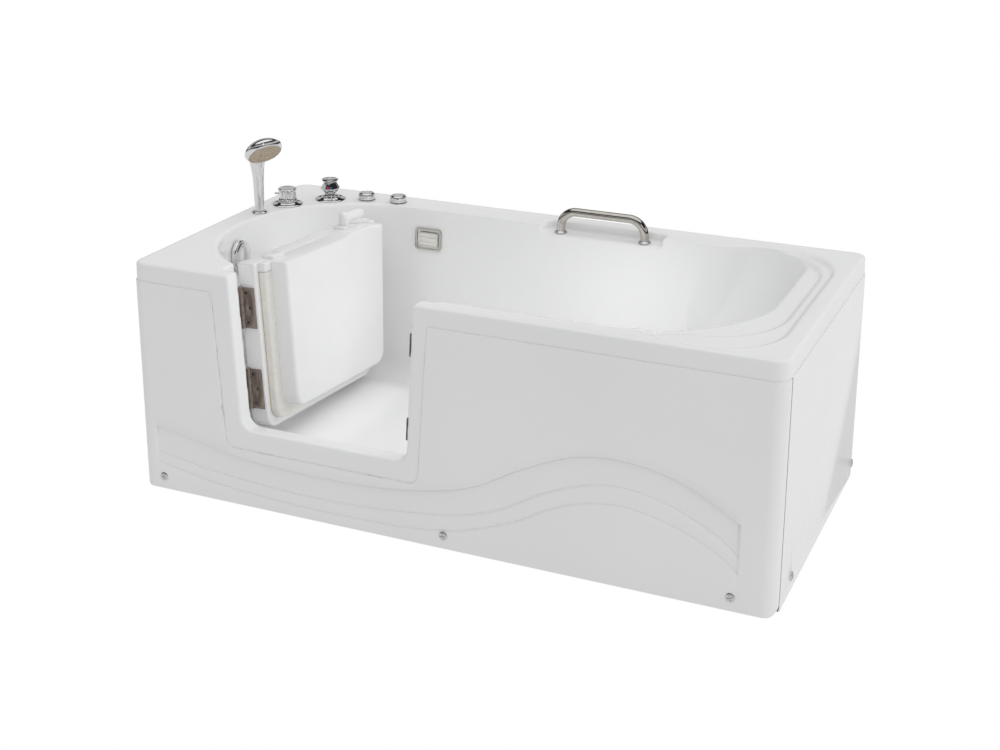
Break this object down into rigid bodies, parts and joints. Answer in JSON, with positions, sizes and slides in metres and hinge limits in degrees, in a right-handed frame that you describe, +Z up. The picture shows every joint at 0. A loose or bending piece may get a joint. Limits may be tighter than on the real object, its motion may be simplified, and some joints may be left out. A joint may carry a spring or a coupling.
{
  "type": "walk-in bathtub with door",
  "caption": "Lay-down walk-in bathtub with a low-sill inward swinging side door, sloped backrest, grab bar, deck taps and hand shower",
  "frame": {"origin": "on the floor under the middle of the tub's outline", "axes": "+X to the backrest end, -Y the door side, +Z up"},
  "size_m": [1.53, 0.765, 0.7577],
  "materials": {
    "white_acrylic": "gloss",
    "door_white": "gloss",
    "cream_rubber": "matt",
    "chrome": "polished",
    "stainless": "satin",
    "frame_grey": "semi-matt",
    "zinc": "satin",
    "batten_wood": "raw",
    "valve_brass": "satin",
    "pipe_plastic": "matt",
    "spray_plastic": "matt"
  },
  "bodies": {
    "tub": {"tub_shell": "white_acrylic", "front_skirt": "white_acrylic", "end_panel_right": "white_acrylic", "end_panel_left": "white_acrylic", "waterfall_spout": "chrome", "spout_louvre": "chrome", "overflow_cap": "chrome", "drain_flange_a": "chrome", "drain_flange_b": "chrome", "grab_bar": "chrome", "grab_bar_collars": "chrome", "diverter_flange": "chrome", "mixer_flange": "chrome", "drain_knob_base_a": "chrome", "drain_knob_base_b": "chrome", "shower_holder": "chrome", "hinge_jamb_upper": "stainless", "hinge_jamb_lower": "stainless", "hinge_pin_upper": "stainless", "hinge_pin_lower": "stainless", "hinge_screws_jamb": "stainless", "strike_upper": "stainless", "strike_lower": "stainless", "strike_screws": "stainless", "panel_screws": "stainless", "base_ring": "frame_grey", "floor_bearers": "frame_grey", "frame_posts": "frame_grey", "top_rails": "frame_grey", "leveling_feet": "zinc", "feet_locknuts": "zinc", "rim_battens": "batten_wood", "diverter_valve": "valve_brass", "mixer_valve": "valve_brass", "overflow_body": "pipe_plastic", "waste_pipe": "pipe_plastic", "waste_outlet": "pipe_plastic"},
    "door": {"door_shell": "door_white", "door_liner": "door_white", "door_gasket": "cream_rubber", "hinge_leaf_upper": "stainless", "hinge_leaf_lower": "stainless", "hinge_screws_door": "stainless", "lever_base": "door_white"},
    "latch": {"door_lever": "door_white", "latch_shaft": "stainless"},
    "bolt_upper": {"latch_bolt_upper": "stainless"},
    "bolt_lower": {"latch_bolt_lower": "stainless"},
    "plug_a": {"drain_plug_a": "chrome"},
    "plug_b": {"drain_plug_b": "chrome"},
    "knob_a": {"drain_knob_a": "chrome"},
    "knob_b": {"drain_knob_b": "chrome"},
    "diverter": {"diverter_knob": "chrome"},
    "mixer": {"mixer_knob": "chrome", "mixer_cap": "chrome"},
    "handset": {"shower_handle": "chrome", "shower_head": "chrome", "shower_face": "spray_plastic"}
  },
  "joints": [
    {"name": "door_swing", "type": "hinge", "parent": "tub", "child": "door", "pos_m": [-0.53098, -0.276, 0.4], "axis": [-0.0558, 0, 0.9984], "range_deg": [-88, 0]},
    {"name": "lever_turn", "type": "hinge", "parent": "door", "child": "latch", "pos_m": [-0.47601, 0.10593, 0.53405], "axis": [-0.0538, 0.0558, 0.997], "range_deg": [0, 60]},
    {"name": "bolt_upper_slide", "type": "slide", "parent": "door", "child": "bolt_upper", "axis": [0.0379, 0.9978, -0.0538], "range_m": [0, 0.0158]},
    {"name": "bolt_lower_slide", "type": "slide", "parent": "door", "child": "bolt_lower", "axis": [0.0379, 0.9978, -0.0538], "range_m": [0, 0.0158]},
    {"name": "plug_a_lift", "type": "slide", "parent": "tub", "child": "plug_a", "axis": [0, 0, 1], "range_m": [0, 0.0105]},
    {"name": "plug_b_lift", "type": "slide", "parent": "tub", "child": "plug_b", "axis": [0, 0, 1], "range_m": [0, 0.0105]},
    {"name": "knob_a_turn", "type": "hinge", "parent": "tub", "child": "knob_a", "pos_m": [-0.52, 0.305, 0.556], "axis": [0, 0, 1], "range_deg": [0, 120]},
    {"name": "knob_b_turn", "type": "hinge", "parent": "tub", "child": "knob_b", "pos_m": [-0.434, 0.316, 0.556], "axis": [0, 0, 1], "range_deg": [0, 120]},
    {"name": "diverter_turn", "type": "hinge", "parent": "tub", "child": "diverter", "pos_m": [-0.686, 0.186, 0.556], "axis": [0, 0, 1], "range_deg": [-60, 60]},
    {"name": "mixer_turn", "type": "hinge", "parent": "tub", "child": "mixer", "pos_m": [-0.609, 0.272, 0.556], "axis": [0, 0, 1], "range_deg": [-90, 90]},
    {"name": "handset_lift", "type": "slide", "parent": "tub", "child": "handset", "axis": [0, 0, 1], "range_m": [0, 0.06]}
  ],
  "couplings": [
    {"joint": "bolt_upper_slide", "follows": "lever_turn", "m_per_rad": 0.0149},
    {"joint": "bolt_lower_slide", "follows": "lever_turn", "m_per_rad": 0.0149},
    {"joint": "plug_a_lift", "follows": "knob_a_turn", "m_per_rad": 0.0049},
    {"joint": "plug_b_lift", "follows": "knob_b_turn", "m_per_rad": 0.0049}
  ]
}
